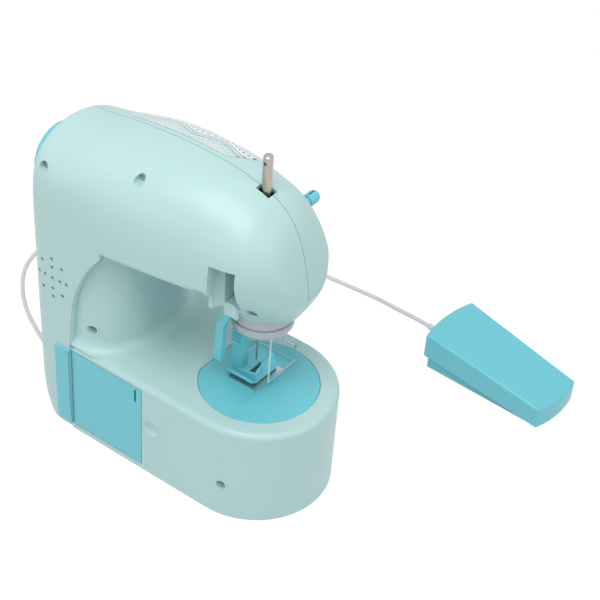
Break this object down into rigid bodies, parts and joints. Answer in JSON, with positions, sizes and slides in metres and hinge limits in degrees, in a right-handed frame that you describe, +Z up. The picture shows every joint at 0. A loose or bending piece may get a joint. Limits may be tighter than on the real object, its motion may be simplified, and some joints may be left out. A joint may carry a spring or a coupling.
{
  "type": "toy sewing machine",
  "caption": "Toy sewing machine with a free-arm base, hand wheel, needle and presser foot, accessory door, clear guard and a corded foot pedal.",
  "frame": {"origin": "point on the table straight below the needle", "axes": "+X from the column towards the head's tip, -Y towards the side with the door, +Z up"},
  "size_m": [0.3423, 0.2223, 0.202],
  "materials": {
    "mint_plastic": "satin",
    "turquoise_plastic": "satin",
    "printed_panel": "gloss, with a printed pattern",
    "grey_plastic": "satin",
    "clear_plastic": "clear moulded plastic",
    "pale_plastic": "satin",
    "white_plastic": "moulded",
    "dark_plastic": "moulded",
    "rubber": "matt",
    "cord": "soft vinyl",
    "steel": "brushed",
    "bright_steel": "polished",
    "brass": "plain",
    "battery": "gloss sleeve"
  },
  "bodies": {
    "machine": {"base_housing": "mint_plastic", "front_shell": "mint_plastic", "rear_shell": "mint_plastic", "bottom_plate": "mint_plastic", "battery_door": "mint_plastic", "base_pads": "rubber", "door_strip": "turquoise_plastic", "accessory_box": "mint_plastic", "bed_plate": "turquoise_plastic", "needle_plate": "steel", "top_panel": "printed_panel", "nose_ring": "grey_plastic", "finger_guard": "clear_plastic", "thread_peg": "turquoise_plastic", "shell_screws": "steel", "bottom_screws": "steel", "wheel_bush": "pale_plastic", "drive_belt": "rubber", "motor": "steel", "gear_axle": "steel", "gear_bracket": "white_plastic", "bar_frame": "steel", "presser_spring": "steel", "lifter_bush": "white_plastic", "lower_bearings": "white_plastic", "bobbin_case": "steel", "bobbin": "white_plastic", "battery_cells": "battery", "battery_contacts": "brass", "pedal_base": "turquoise_plastic", "pedal_pin": "steel", "pedal_spring": "steel", "pedal_switch": "dark_plastic", "pedal_pads": "rubber", "machine_gland": "cord", "pedal_gland": "cord", "power_cord": "cord"},
    "wheel": {"hand_wheel": "turquoise_plastic", "main_shaft": "steel", "main_gear": "white_plastic", "upper_pulley": "dark_plastic", "crank": "steel"},
    "reduction": {"reduction_gear": "white_plastic"},
    "pinion": {"motor_pinion": "brass"},
    "lower": {"lower_shaft": "steel", "lower_pulley": "dark_plastic", "rotary_hook": "steel", "feed_cam": "white_plastic"},
    "needle_group": {"needle_bar": "bright_steel", "needle_yoke": "steel", "needle_clamp": "bright_steel", "clamp_screw": "bright_steel", "needle": "bright_steel"},
    "presser_group": {"presser_bar": "steel", "presser_collar": "steel", "presser_foot": "turquoise_plastic"},
    "lifter": {"presser_lifter": "turquoise_plastic"},
    "feed": {"feed_dog": "steel"},
    "door": {"accessory_door": "turquoise_plastic"},
    "pedal": {"pedal_cover": "turquoise_plastic"}
  },
  "joints": [
    {"name": "wheel_turn", "type": "hinge", "parent": "machine", "child": "wheel", "pos_m": [-0.12, -0.0125, 0.1535], "axis": [1, 0, 0], "continuous": true},
    {"name": "reduction_turn", "type": "hinge", "parent": "machine", "child": "reduction", "pos_m": [-0.088, -0.00371, 0.13465], "axis": [1, 0, 0], "continuous": true},
    {"name": "pinion_turn", "type": "hinge", "parent": "machine", "child": "pinion", "pos_m": [-0.088, 0.01283, 0.14271], "axis": [1, 0, 0], "continuous": true},
    {"name": "lower_turn", "type": "hinge", "parent": "machine", "child": "lower", "pos_m": [-0.06, -0.0125, 0.034], "axis": [1, 0, 0], "continuous": true},
    {"name": "needle_slide", "type": "slide", "parent": "machine", "child": "needle_group", "axis": [0, 0, 1], "range_m": [-0.0133, 0.00266]},
    {"name": "lifter_swing", "type": "hinge", "parent": "machine", "child": "lifter", "pos_m": [-0.002, -0.015, 0.119], "axis": [0, 1, 0], "range_deg": [0, 90]},
    {"name": "presser_lift", "type": "slide", "parent": "machine", "child": "presser_group", "axis": [0, 0, 1], "range_m": [0, 0.004], "deforming": ["presser_spring"]},
    {"name": "feed_slide", "type": "slide", "parent": "machine", "child": "feed", "axis": [0, 1, 0], "range_m": [-0.002, 0.002]},
    {"name": "door_swing", "type": "hinge", "parent": "machine", "child": "door", "pos_m": [-0.0893, -0.0469, 0.031], "axis": [0, 0, -1], "range_deg": [0, 90]},
    {"name": "pedal_press", "type": "hinge", "parent": "machine", "child": "pedal", "pos_m": [0.11174, 0.1422, 0.0066], "axis": [-0.0958, -0.9954, 0], "range_deg": [0, 4], "stiffness_Nm_per_rad": 0.6, "springref_deg": -8.59, "deforming": ["pedal_spring"]}
  ],
  "couplings": [
    {"joint": "reduction_turn", "follows": "wheel_turn", "ratio": -3.3333},
    {"joint": "pinion_turn", "follows": "wheel_turn", "ratio": 12},
    {"joint": "lower_turn", "follows": "wheel_turn", "ratio": 1},
    {"joint": "presser_lift", "follows": "lifter_swing", "m_per_rad": 0.002546}
  ]
}
